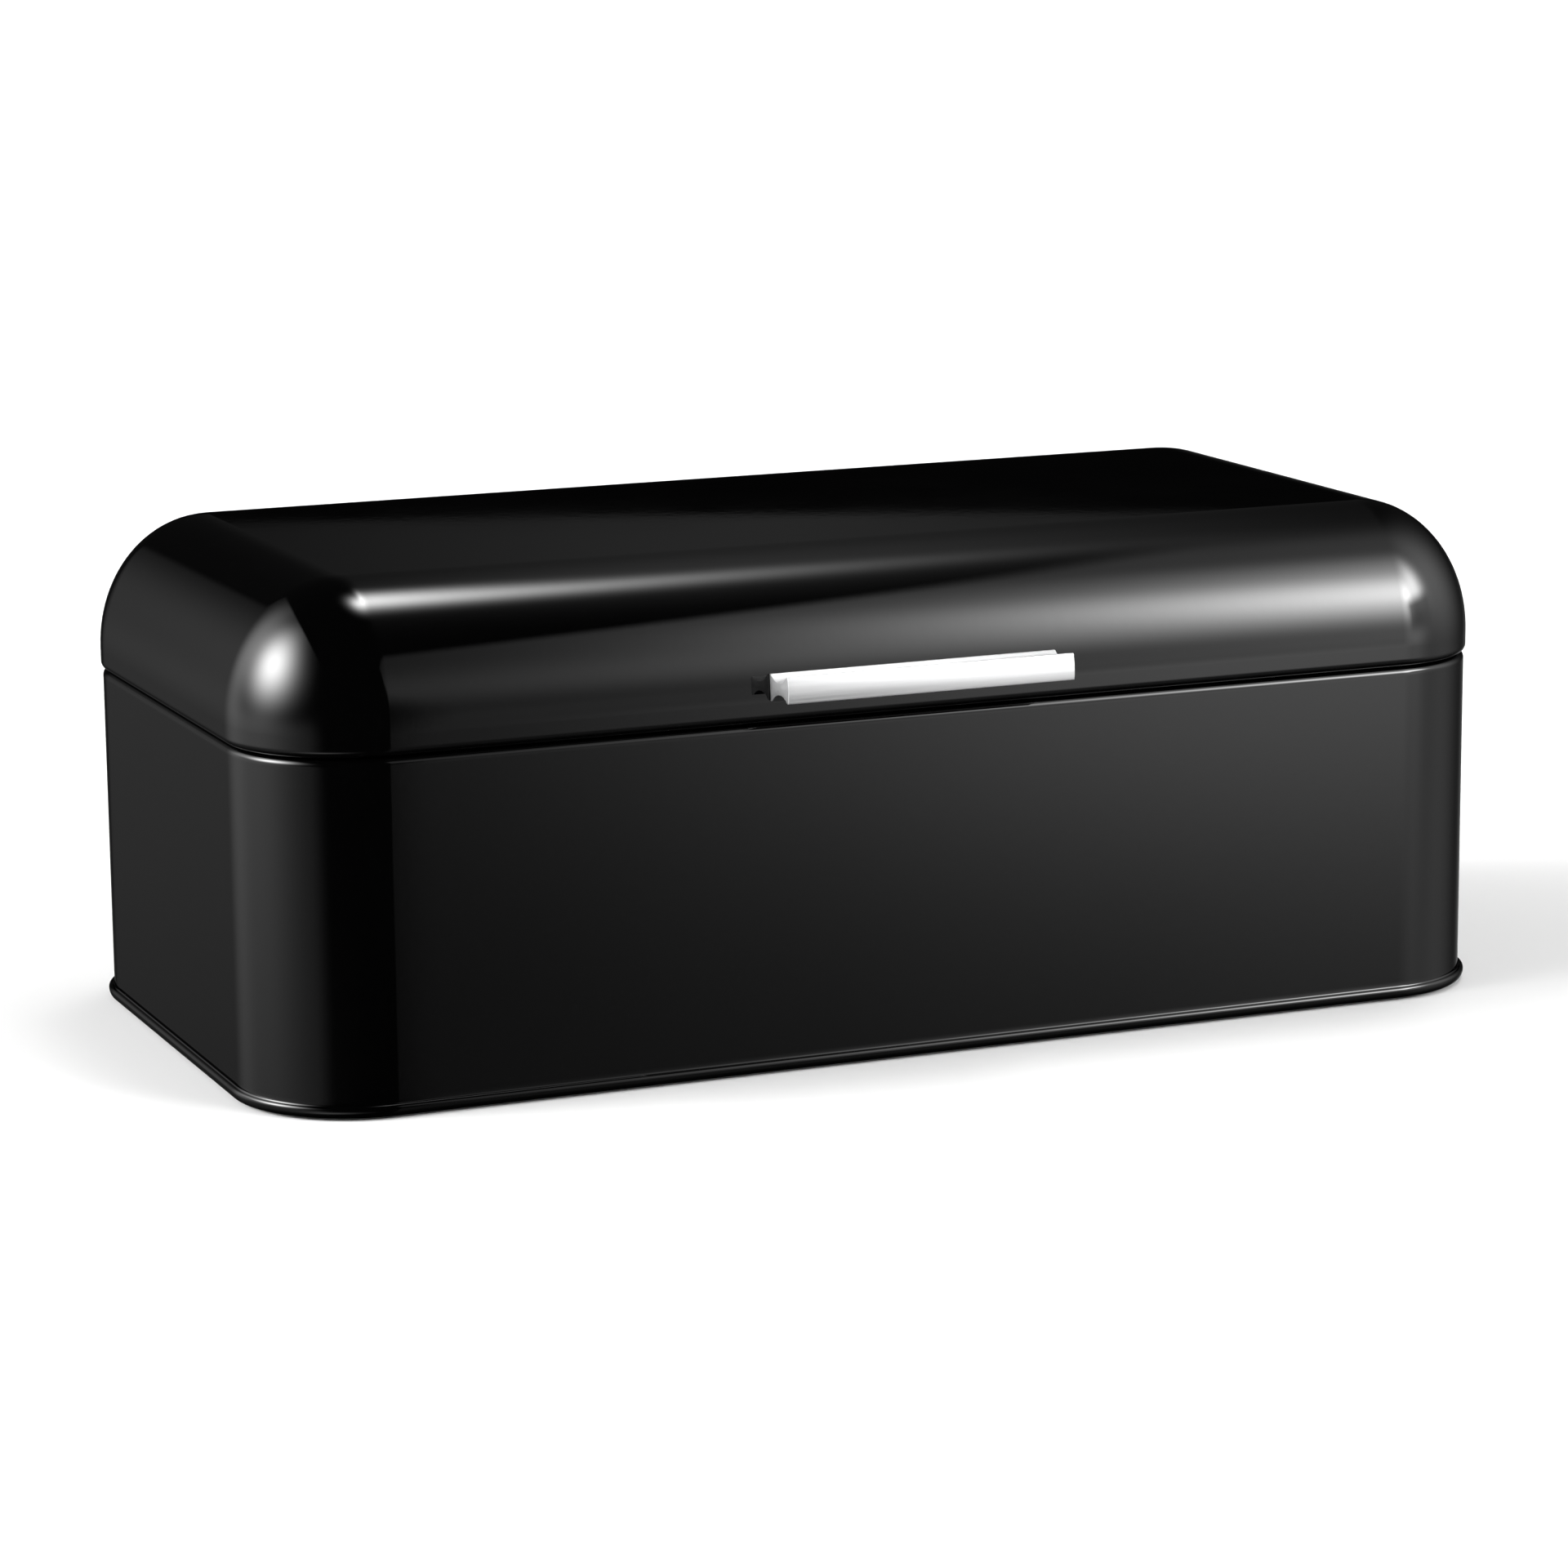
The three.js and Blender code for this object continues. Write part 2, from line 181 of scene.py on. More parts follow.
# The profile, as [radius, distance along the axis], is spun a full turn.
def turnedPiece(name, origin, axis, side, profile, steps=32):
    points = [origin + side * radius * mm + axis * along * mm for radius, along in profile]
    piece = drawLine(name, points)
    bpy.ops.mesh.select_all(action="SELECT")
    bpy.ops.mesh.spin(steps=steps, angle=2 * pi, center=origin, axis=axis)
    closeUp(piece)
    return piece


# A section in the Y-Z plane, drawn out along X.
def drawnOut(name, section, left, right):
    piece = drawLine(name, [Vector((left * mm, y * mm, z * mm)) for y, z in section])
    bpy.ops.mesh.select_all(action="SELECT")
    bpy.ops.mesh.edge_face_add()
    pull(x=(right - left) * mm)
    closeUp(piece)
    return piece


def solidBox(low, high):
    middle = [(a + b) / 2 * mm for a, b in zip(low, high)]
    size = [(b - a) * mm for a, b in zip(low, high)]
    return addPrimitive("solidBox", bpy.ops.mesh.primitive_cube_add, size=1, location=middle, scale=size)


drill = {"length": 14, "facets": 24}


def rearDrill(x, z, radius, facets=drill["facets"]):    # goes right through a rear wall
    place = (x * mm, box["depth"] / 2 * mm, z * mm)
    return addPrimitive("drill", bpy.ops.mesh.primitive_cylinder_add, vertices=facets, radius=radius * mm,
                        depth=drill["length"] * mm, location=place, rotation=(pi / 2, 0, 0))


def setDown(piece, body, finish, *nodes):
    takeUp(piece)
    piece.location = boxMiddle
    bpy.ops.object.transform_apply(location=True, rotation=True, scale=True)
    bpy.ops.object.shade_smooth_by_angle(angle=radians(box["smoothAngle"]))
    piece.data.materials.clear()
    piece.data.materials.append(finishes[finish])
    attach(piece, body)
    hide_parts(*nodes)


def newMaterial(name):
    material = bpy.data.materials.new(name)
    material.use_nodes = True
    shader = material.node_tree.nodes["Principled BSDF"]
    return material, shader


def addNode(material, kind, **values):
    node = material.node_tree.nodes.new(kind)
    for name, value in values.items():
        if name in node.inputs:
            node.inputs[name].default_value = value
        else:
            setattr(node, name, value)
    return node


def link(material, source, target):
    material.node_tree.links.new(source, target)


def objectPattern(material, scale=(1, 1, 1)):
    place = addNode(material, "ShaderNodeTexCoord")
    mapping = addNode(material, "ShaderNodeMapping")
    mapping.inputs["Scale"].default_value = scale
    link(material, place.outputs["Object"], mapping.inputs["Vector"])
    return mapping.outputs["Vector"]


def noise(material, vector, scale, detail=2.0, roughness=0.5):
    texture = addNode(material, "ShaderNodeTexNoise")
    texture.inputs["Scale"].default_value = scale
    texture.inputs["Detail"].default_value = detail
    texture.inputs["Roughness"].default_value = roughness
    link(material, vector, texture.inputs["Vector"])
    return texture.outputs["Fac"]


def spread(material, value, low, high, fromLow=0.3, fromHigh=0.7):
    ranged = addNode(material, "ShaderNodeMapRange")
    ranged.inputs["From Min"].default_value = fromLow
    ranged.inputs["From Max"].default_value = fromHigh
    ranged.inputs["To Min"].default_value = low
    ranged.inputs["To Max"].default_value = high
    link(material, value, ranged.inputs["Value"])
    return ranged.outputs["Result"]


def mixColours(material, shader, pattern, first, second):
    tone = addNode(material, "ShaderNodeMix", data_type="RGBA")
    tone.inputs["A"].default_value = first
    tone.inputs["B"].default_value = second
    link(material, spread(material, pattern, 0, 1), tone.inputs["Factor"])
    link(material, tone.outputs["Result"], shader.inputs["Base Color"])


def bump(material, shader, heights, distance):
    relief = addNode(material, "ShaderNodeBump")
    relief.inputs["Distance"].default_value = distance
    relief.inputs["Strength"].default_value = 1.0
    link(material, heights, relief.inputs["Height"])
    link(material, relief.outputs["Normal"], shader.inputs["Normal"])


enamelLook = {
    "colour": (0.0002, 0.0002, 0.00022, 1), "handledColour": (0.0005, 0.0005, 0.00052, 1),
    "gloss": (0.014, 0.034), "smudgeScale": 9, "peelScale": 260, "peelDepth": 0.0000012, "refraction": 1.5,
}


def blackEnamel():
    look = enamelLook
    material, shader = newMaterial("blackEnamel")
    vector = objectPattern(material)
    smudges = noise(material, vector, look["smudgeScale"], detail=5, roughness=0.62)
    mixColours(material, shader, smudges, look["colour"], look["handledColour"])
    link(material, spread(material, smudges, *look["gloss"]), shader.inputs["Roughness"])
    bump(material, shader, noise(material, vector, look["peelScale"], detail=1), look["peelDepth"])
    shader.inputs["IOR"].default_value = look["refraction"]
    return material


aluminiumLook = {
    "colour": (0.78, 0.782, 0.786, 1), "darkGrain": (0.72, 0.723, 0.728, 1),
    "grainStretch": (14, 1400, 1400), "roughness": (0.48, 0.58), "grainDepth": 0.000004,
}


def brushedAluminium():
    look = aluminiumLook
    material, shader = newMaterial("brushedAluminium")
    grain = noise(material, objectPattern(material, look["grainStretch"]), 1, detail=3, roughness=0.6)
    mixColours(material, shader, grain, look["darkGrain"], look["colour"])
    link(material, spread(material, grain, *look["roughness"]), shader.inputs["Roughness"])
    bump(material, shader, grain, look["grainDepth"])
    shader.inputs["Metallic"].default_value = 1.0
    return material


steelLook = {
    "colour": (0.62, 0.62, 0.615, 1), "dull": (0.42, 0.42, 0.42, 1), "patchScale": 320,
    "roughness": (0.38, 0.2), "depth": 0.000006,
}


def brightSteel():
    look = steelLook
    material, shader = newMaterial("brightSteel")
    patches = noise(material, objectPattern(material), look["patchScale"], detail=4, roughness=0.6)
    mixColours(material, shader, patches, look["dull"], look["colour"])
    link(material, spread(material, patches, *look["roughness"]), shader.inputs["Roughness"])
    bump(material, shader, patches, look["depth"])
    shader.inputs["Metallic"].default_value = 1.0
    return material


rubberLook = {
    "colour": (0.018, 0.018, 0.018, 1), "dusty": (0.045, 0.044, 0.043, 1),
    "grainScale": 900, "dustScale": 75, "roughness": (0.65, 0.9), "depth": 0.00003,
}


def blackRubber():
    look = rubberLook
    material, shader = newMaterial("blackRubber")
    vector = objectPattern(material)
    grain = noise(material, vector, look["grainScale"], detail=3)
    dust = noise(material, vector, look["dustScale"], detail=3)
    mixColours(material, shader, dust, look["colour"], look["dusty"])
    link(material, spread(material, dust, *look["roughness"]), shader.inputs["Roughness"])
    bump(material, shader, grain, look["depth"])
    return material


finishes = {
    "black_enamel": blackEnamel(),
    "brushed_aluminium": brushedAluminium(),
    "bright_steel": brightSteel(),
    "black_rubber": blackRubber(),
}
print("finishes made")


lid = {
    "overhang": 0.6, "curl": 2.5, "straight": 4.55, "shoulder": 36, "top": 159, "rest": 0.3,
    "edgeRound": 0.3, "shoulderSteps": 28, "flatSupport": 0.8, "curlSupport": 0.4, "springSupport": 0.6,
    "boreDepth": 5,
}
curlHeight = box["parting"] + lid["rest"] + lid["curl"]
springHeight = curlHeight + lid["straight"]    # where the wide shoulder starts
rise = lid["top"] - springHeight
lidReach = box["corner"] + lid["overhang"]


handle = {
    "length": 96, "height": 8.4, "reach": 15, "offset": -1.7, "level": 120.9, "flange": 1.5, "lip": 1.1,
    "scoop": 2.25, "crown": 0.5, "crownSteps": 12, "gap": 0.3, "edge": 0.22,
}
climb = (handle["level"] - springHeight) / rise
surfaceInset = lid["shoulder"] * (1 - sqrt(1 - climb * climb))
lean = atan(lid["shoulder"] / rise * climb / sqrt(1 - climb * climb))
outwards = Vector((0, -cos(lean), sin(lean)))    # square to the lid behind the handle
upwards = Vector((0, sin(lean), cos(lean)))
handleDepth = box["depth"] / 2 + lid["overhang"] - surfaceInset
handleFoot = Vector((handle["offset"], -handleDepth, handle["level"])) * mm


screw = {
    "spacing": 64, "shank": 1.5, "hole": 1.8, "head": 2.8, "headHeight": 2.0, "depth": 5.2,
    "slotLength": 3.2, "slotWidth": 0.7, "slotDepth": 1.1, "slotClearance": 0.2,
    "pointEdge": 0.4, "headEdge": 0.15, "headRound": 1.1, "boreEnd": 0.4,
}
washer = {"radius": 3.5, "hole": 1.7, "thickness": 0.5, "gap": 0.15, "edge": 0.1}
screwPlaces = {side: handleFoot + Vector((sign * screw["spacing"] / 2 * mm, 0, 0))
               for side, sign in (("left", -1), ("right", 1))}


def screwDrill(place, depth):
    axisTurn = outwards.to_track_quat("Z", "X").to_euler()
    return addPrimitive("drill", bpy.ops.mesh.primitive_cylinder_add, vertices=drill["facets"],
                        radius=screw["hole"] * mm, depth=depth * 2 * mm, location=place, rotation=axisTurn)


rivet = {
    "spread": 10, "shank": 1.5, "hole": 1.65, "head": 2.8, "dome": 1.1, "domeEdge": 0.05, "domeStart": 0.15,
    "domeGap": 0.05, "tail": 2.4, "tailHeight": 0.8, "tailEdge": 0.3, "gap": 0.15, "lidGap": 0.4,
    "bodyLevel": 96, "lidLevel": 119,
}
hinge = {
    "offset": 130, "width": 32, "sheet": 0.8, "knuckle": 2.0, "pin": 1.0, "gap": 0.15, "plateRound": 3.0,
    "bodyBottom": 88, "bodyNotch": 104.6, "lidNotch": 112.2, "lidTop": 124, "middle": 10.4,
    "knuckleGap": 0.4, "roll": 285, "rollSteps": 36, "edge": 0.12, "pinPast": 0.15, "pinHead": 0.7,
    "lug": 6.0, "lugRoot": 0.4, "lugThickness": 1.2, "cutFront": 100, "cutBack": 120, "cutUnder": 104,
    "cutOver": 116, "cutBeside": 1, "lidFlat": 0.6,
}
joggle = {"below": 1, "bend": 0.4, "ease": 0.06, "above": 2.6, "end": 2}    # between plate and knuckle
hingeSides = {"left": -1, "right": 1}
hingeY = box["depth"] / 2 + lid["overhang"] + hinge["gap"] + hinge["knuckle"]


def rivetColumns():
    for side, sign in hingeSides.items():
        for nearness, step in (("outer", 1), ("inner", -1)):
            yield f"{side}_{nearness}", sign * (hinge["offset"] + step * rivet["spread"])


def makeLidShell():
    sheet = box["sheet"]
    flat = lidReach - lid["shoulder"]
    spring = [flat, springHeight]
    curl = [lidReach - lid["curl"], curlHeight]
    steps = lid["shoulderSteps"]
    flatEdge = flat - lid["flatSupport"]
    aboveCurl = curlHeight + lid["curlSupport"]
    belowSpring = springHeight - lid["springSupport"]
    edgeMiddle = [curl[0], curlHeight - lid["curl"] + lid["edgeRound"]]
    profile = [(0, lid["top"] - sheet), (flatEdge, lid["top"] - sheet)]
    profile += arc(spring, [lid["shoulder"] - sheet, rise - sheet], 90, 0, steps)
    profile += [(lidReach - sheet, belowSpring), (lidReach - sheet, aboveCurl)]
    profile += arc(curl, [lid["curl"] - sheet] * 2, 0, -90, 10)
    profile += arc(edgeMiddle, [lid["edgeRound"]] * 2, 90, 270, 6)[1:-1]
    profile += arc(curl, [lid["curl"]] * 2, -90, 0, 14)
    profile += [(lidReach, aboveCurl), (lidReach, belowSpring)]
    profile += arc(spring, [lid["shoulder"], rise], 0, 90, steps)
    profile += [(flatEdge, lid["top"]), (0, lid["top"])]
    shell = corneredShell("lidShell", profile)
    cutAway(shell, *[screwDrill(place, lid["boreDepth"]) for place in screwPlaces.values()])
    cutAway(shell, *[rearDrill(x, rivet["lidLevel"], rivet["hole"]) for _, x in rivetColumns()])
    setDown(shell, "lid", "black_enamel", "lid_shell")


makeLidShell()
print("lid shell made")


def makeHandleBar():
    half = handle["height"] / 2
    front = -handle["reach"] + handle["crown"]
    chord = [-handle["flange"], front + handle["lip"]]
    middle = (chord[0] + chord[1]) / 2
    halfChord = (chord[0] - chord[1]) / 2
    radius = (halfChord ** 2 + handle["scoop"] ** 2) / (2 * handle["scoop"])
    sweep = degrees(atan(halfChord / sqrt(radius ** 2 - halfChord ** 2)))    # half the scoop's arc
    height = half + radius - handle["scoop"]
    section = [(-handle["gap"], -half), (-handle["gap"], half)]
    section += arc([middle, height], [radius] * 2, -90 + sweep, -90 - sweep, 24)
    for step in range(handle["crownSteps"] + 1):
        across = 1 - 2 * step / handle["crownSteps"]
        section.append((front - handle["crown"] * (1 - across * across), half * across))
    section += arc([middle, -height], [radius] * 2, 90 + sweep, 90 - sweep, 24)
    leaned = []
    for y, z in section:
        place = handleFoot - outwards * y * mm + upwards * z * mm
        leaned.append((place.y / mm, place.z / mm))
    left = handle["offset"] - handle["length"] / 2
    bar = drawnOut("handleBar", leaned, left, left + handle["length"])
    cutAway(bar, *[screwDrill(place, screw["depth"] + screw["boreEnd"]) for place in screwPlaces.values()])
    modify(bar, "BEVEL", width=handle["edge"] * mm, segments=3, limit_method="ANGLE",
           angle_limit=radians(35))
    setDown(bar, "lid", "brushed_aluminium", "handle_bar")


def makeHandleScrew(side, place):
    start = box["sheet"] + 2 * washer["gap"] + washer["thickness"]    # the head's seat, on the washer
    top = start + screw["headHeight"]
    point, edge, rounding = screw["pointEdge"], screw["headEdge"], screw["headRound"]
    profile = [(0, -screw["depth"]), (screw["shank"] - point, -screw["depth"])]
    profile += [(screw["shank"], -screw["depth"] + point), (screw["shank"], start)]
    profile += [(screw["head"] - edge, start), (screw["head"], start + edge)]
    profile += arc([screw["head"] - rounding, top - rounding], [rounding] * 2, 0, 90, 8)
    profile += [(0, top)]
    name = "handleScrew" + side.title()
    piece = turnedPiece(name, place, -outwards, Vector((1, 0, 0)), profile)
    past = screw["slotClearance"]
    slotMiddle = place - outwards * (top - screw["slotDepth"] / 2 + past / 2) * mm
    long, narrow = screw["slotLength"], screw["slotWidth"]
    for length, width in ((long, narrow), (narrow, long)):
        size = (length * mm, (screw["slotDepth"] + past) * mm, width * mm)
        slot = addPrimitive("slot", bpy.ops.mesh.primitive_cube_add, size=1, location=slotMiddle,
                            rotation=(-lean, 0, 0), scale=size)
        cutAway(piece, slot)
    setDown(piece, "lid", "bright_steel", "handle_screw_" + side)


def makeHandleWasher(side, place):
    start = box["sheet"] + washer["gap"]
    end = start + washer["thickness"]
    hole, outer, edge = washer["hole"], washer["radius"], washer["edge"]
    profile = [(hole, start), (outer - edge, start), (outer, start + edge), (outer, end - edge)]
    profile += [(outer - edge, end), (hole, end), (hole, start)]
    name = "handleWasher" + side.title()
    piece = turnedPiece(name, place, -outwards, Vector((1, 0, 0)), profile, steps=40)
    setDown(piece, "lid", "bright_steel", "handle_washer_" + side)


makeHandleBar()
for screwSide, screwPlace in screwPlaces.items():
    makeHandleScrew(screwSide, screwPlace)
    makeHandleWasher(screwSide, screwPlace)
print("handle made")


wall = {
    "rim": 2.0, "neckInset": 2.9, "neckTop": 115, "neckRound": 0.5, "hem": 4.4,
    "flare": 0.4, "flareStart": 4.2, "flareEnd": 3.45, "flareSupport": 0.3, "rimSupport": 0.6, "foot": 1.3,
    "seamHalf": 4.0, "seamProud": 0.7, "seamBottom": 5.5, "seamTop": 104.0, "seamEdge": 0.3,
    "ventRadius": 2.5, "ventCount": 5, "ventFirst": 30, "ventPitch": 14, "ventLevel": 82,
    "ventFacets": 32,
}


def makeBodyWall():
    sheet, corner, parting = box["sheet"], box["corner"], box["parting"]
    neck = corner - wall["neckInset"]
    rim = [corner - wall["rim"], parting - wall["rim"]]
    drop = wall["flareStart"] - wall["flareEnd"]
    sweep = 2 * atan(wall["flare"] / drop)    # of the hollow fillet where the wall turns out over the bead
    radius = drop / sin(sweep)
    turned = degrees(sweep)
    fillet = [corner + radius, wall["flareStart"]]
    flared, bend = corner + wall["flare"], wall["neckRound"]
    profile = [(flared, wall["foot"]), (flared, wall["flareEnd"] - wall["flareSupport"])]
    profile += arc(fillet, [radius] * 2, 180 + turned, 180, 10)
    profile += [(corner, wall["seamBottom"]), (corner, wall["seamTop"])]
    profile += [(corner, rim[1] - wall["rimSupport"])]
    profile += arc(rim, [wall["rim"]] * 2, 0, 90, 12)
    profile += arc([neck + bend, parting + bend], [bend] * 2, 270, 180, 5)
    profile += [(neck, wall["neckTop"] - sheet)]
    profile += arc([neck - sheet, wall["neckTop"] - sheet], [sheet, sheet], 0, 180, 10)
    profile += arc([neck - 1.5 * sheet, wall["neckTop"] - wall["hem"]], [sheet / 2] * 2, 180, 360, 6)
    profile += arc([neck + bend, parting - sheet + bend], [bend + sheet, bend], 180, 270, 5)
    profile += arc(rim, [wall["rim"] - sheet] * 2, 90, 0, 8)
    profile += [(corner - sheet, wall["seamTop"]), (corner - sheet, wall["seamBottom"])]
    profile += arc(fillet, [radius + sheet] * 2, 180, 180 + turned * 0.75, 8)
    profile += [(flared - sheet, wall["foot"]), (flared, wall["foot"])]
    shell = corneredShell("bodyWall", profile, seamHalf=wall["seamHalf"] * mm)

    # lock seam down the middle of the back
    back = box["depth"] / 2 * mm
    raised = back + wall["seamProud"] * mm
    half, bottom, top = wall["seamHalf"] * mm, wall["seamBottom"] * mm, wall["seamTop"] * mm

    def onSeam(place, normal):
        rear = abs(place.y - back) < near and normal.y > 0.9
        return rear and abs(place.x) < half and bottom < place.z < top

    def aroundSeam(a, b):
        upright = abs(abs(a.x) - half) < near and abs(a.x - b.x) < near
        level = abs(a.z - b.z) < near
        return min(a.y, b.y) > raised - near and (upright or level)

    pick(shell, "FACE", onSeam)
    pull(y=raised - back)
    pick(shell, "EDGE", aroundSeam)
    bpy.ops.mesh.bevel(offset=wall["seamEdge"] * mm, segments=3)

    for _, x in rivetColumns():
        cutAway(shell, rearDrill(x, rivet["bodyLevel"], rivet["hole"]))
    for sign in (-1, 1):
        for i in range(wall["ventCount"]):
            x = sign * (wall["ventFirst"] + i * wall["ventPitch"])
            cutAway(shell, rearDrill(x, wall["ventLevel"], wall["ventRadius"], facets=wall["ventFacets"]))
    setDown(shell, "box", "black_enamel", "body_wall")


makeBodyWall()
print("body wall made")


pan = {
    "proud": 1.85, "widest": 2.6, "lower": 1.9, "upper": 1.35, "upperShift": 0.1, "upperSweep": 58,
    "panel": 5.0, "channelGap": 0.3, "bend": 0.6, "turnRound": 0.7, "turnIn": 1.2, "channelRound": 0.5,
    "lipTurn": (0.2, 0.02), "lipDrop": 0.55, "creaseGap": 0.1, "creaseFoot": 1.5, "creaseTurn": 0.6,
    "ribStart": 29, "ribWidth": 7, "ribHeight": 0.5, "ribSteps": 12, "underside": 0.3,
}


def makeBasePan():
    sheet = box["sheet"]
    outer = box["corner"] + pan["proud"]
    inner = box["corner"] - sheet - pan["channelGap"]
    panel, bend, widest = pan["panel"], pan["bend"], pan["widest"]
    floor = panel - sheet    # the panel's underside
    rib = []
    for step in range(pan["ribSteps"] + 1):
        share = step / pan["ribSteps"]
        swell = (1 - cos(2 * pi * share)) / 2
        rib.append((pan["ribStart"] - pan["ribWidth"] * share, pan["ribHeight"] * swell))
    turn = inner - sheet - pan["turnIn"]    # where the panel starts to turn down
    turnRound = pan["turnRound"]
    profile = [(0, floor)]
    profile += [(reach, floor + height) for reach, height in reversed(rib)]
    profile += [(turn, floor)]
    profile += arc([inner - sheet - turnRound, floor - turnRound], [turnRound] * 2, 90, 0, 5)
    profile += arc([inner, bend], [sheet, bend], 180, 270, 5)
    profile += [(inner + pan["underside"], 0)]
    profile += arc([outer - pan["lower"], widest], [pan["lower"], widest], -90, 0, 14)
    upper = [outer - pan["upper"], widest + pan["upperShift"]]
    profile += arc(upper, [pan["upper"]] * 2, 0, pan["upperSweep"], 12)
    lip = profile[-1]
    crease = box["corner"] + wall["flare"] + pan["creaseGap"]
    profile += [(lip[0] - pan["lipTurn"][0], lip[1] - pan["lipTurn"][1]), (crease, lip[1] - pan["lipDrop"])]
    profile += [(crease, pan["creaseFoot"]), (crease - pan["creaseTurn"], sheet)]
    profile += [(inner + pan["channelRound"], sheet), (inner, sheet + pan["channelRound"])]
    profile += [(inner, panel - bend)]
    profile += arc([inner - bend, panel - bend], [bend] * 2, 0, 90, 5)
    profile += [(turn, panel)]
    profile += [(reach, panel + height) for reach, height in rib]
    profile += [(0, panel)]
    shell = corneredShell("basePan", profile)
    setDown(shell, "box", "black_enamel", "base_pan")


makeBasePan()
print("base pan made")


def stripSection(path, thickness):    # both faces of a bent strip, from the middle line of its sheet
    left, right = [], []
    for i, (y, z) in enumerate(path):
        before, after = path[max(i - 1, 0)], path[min(i + 1, len(path) - 1)]
        along = Vector((after[0] - before[0], after[1] - before[1])).normalized()
        left.append((y - along.y * thickness / 2, z + along.x * thickness / 2))
        right.append((y + along.y * thickness / 2, z - along.x * thickness / 2))
    return left + right[::-1]


def roundPlate(leaf, level):    # the two corners of a leaf's free edge
    def atCorner(a, b):
        return abs(a.x - b.x) < weld and max(abs(a.z - level * mm), abs(b.z - level * mm)) < near

    pick(leaf, "EDGE", atCorner)
    bpy.ops.mesh.bevel(offset=hinge["plateRound"] * mm, segments=8)
    bpy.ops.object.mode_set(mode="OBJECT")


def finishLeaf(leaf, side, level, node):
    middle = hingeSides[side] * hinge["offset"]
    modify(leaf, "BEVEL", width=hinge["edge"] * mm, segments=2, limit_method="ANGLE",
           angle_limit=radians(50))
    pick(leaf, "VERT", lambda place: True)
    bpy.ops.transform.translate(value=(middle * mm, 0, 0))
    bpy.ops.object.mode_set(mode="OBJECT")
    for step in (-1, 1):
        cutAway(leaf, rearDrill(middle + step * rivet["spread"], level, rivet["hole"]))
    setDown(leaf, "lid" if "lid" in node else "box", "black_enamel", node)


def makeBodyLeaf(side):
    half, sheet = hinge["width"] / 2, hinge["sheet"]
    plateY = box["depth"] / 2 + hinge["gap"] + sheet / 2
    roll = hinge["knuckle"] - sheet / 2
    level = box["parting"]
    path = [(plateY, hinge["bodyBottom"]), (plateY, hinge["bodyNotch"] - joggle["below"])]
    path += [(plateY + joggle["ease"], hinge["bodyNotch"] - joggle["bend"])]
    path += [(hingeY - roll - joggle["ease"], level - joggle["above"])]
    path += [(hingeY - roll, level - joggle["end"])]
    path += arc([hingeY, level], [roll] * 2, 180, 180 - hinge["roll"], hinge["rollSteps"])
    leaf = drawnOut("hingeBodyLeaf" + side.title(), stripSection(path, sheet), -half, half)
    roundPlate(leaf, hinge["bodyBottom"])
    notch = hinge["middle"] / 2 + hinge["knuckleGap"]
    low = (-notch, hinge["cutFront"], hinge["bodyNotch"])
    cutAway(leaf, solidBox(low, (notch, hinge["cutBack"], hinge["cutOver"])))
    finishLeaf(leaf, side, rivet["bodyLevel"], "hinge_body_leaf_" + side)


def makeLidLeaf(side):
    half, sheet, middle = hinge["width"] / 2, hinge["sheet"], hinge["middle"] / 2
    roll = hinge["knuckle"] - sheet / 2
    level = box["parting"]
    path = [(hingeY - roll, hinge["lidTop"]), (hingeY - roll, hinge["lidNotch"] - hinge["lidFlat"])]
    path += arc([hingeY, level], [roll] * 2, 180, 180 + hinge["roll"], hinge["rollSteps"])
    leaf = drawnOut("hingeLidLeaf" + side.title(), stripSection(path, sheet), -half, half)
    roundPlate(leaf, hinge["lidTop"])
    outer = half + hinge["cutBeside"]
    for left, right in ((-outer, -middle), (middle, outer)):
        low = (left, hinge["cutFront"], hinge["cutUnder"])
        cutAway(leaf, solidBox(low, (right, hinge["cutBack"], hinge["lidNotch"])))
    thick = hinge["lugThickness"] / 2
    root = hingeY + hinge["knuckle"] - hinge["lugRoot"]
    growOn(leaf, solidBox((-middle, root, level - thick), (middle, hingeY + hinge["lug"], level + thick)))
    finishLeaf(leaf, side, rivet["lidLevel"], "hinge_lid_leaf_" + side)


def makePin(side, sign):
    half, pin = hinge["width"] / 2 + hinge["pinPast"], hinge["pin"]
    headRound = [(0.55, 0.04), (0.88, 0.22), (1, 0.45)]    # share of the head's radius, distance inwards
    end, head = half + hinge["pinHead"], pin + hinge["pinHead"]
    profile = [(0, -end)] + [(head * share, -end + inwards) for share, inwards in headRound]
    profile += [(head, -half), (pin, -half), (pin, half), (head, half)]
    profile += [(head * share, end - inwards) for share, inwards in reversed(headRound)] + [(0, end)]
    origin = Vector((sign * hinge["offset"], hingeY, box["parting"])) * mm
    name = "hingePin" + side.title()
    piece = turnedPiece(name, origin, Vector((1, 0, 0)), Vector((0, 0, 1)), profile, steps=24)
    setDown(piece, "box", "bright_steel", "hinge_pin_" + side)


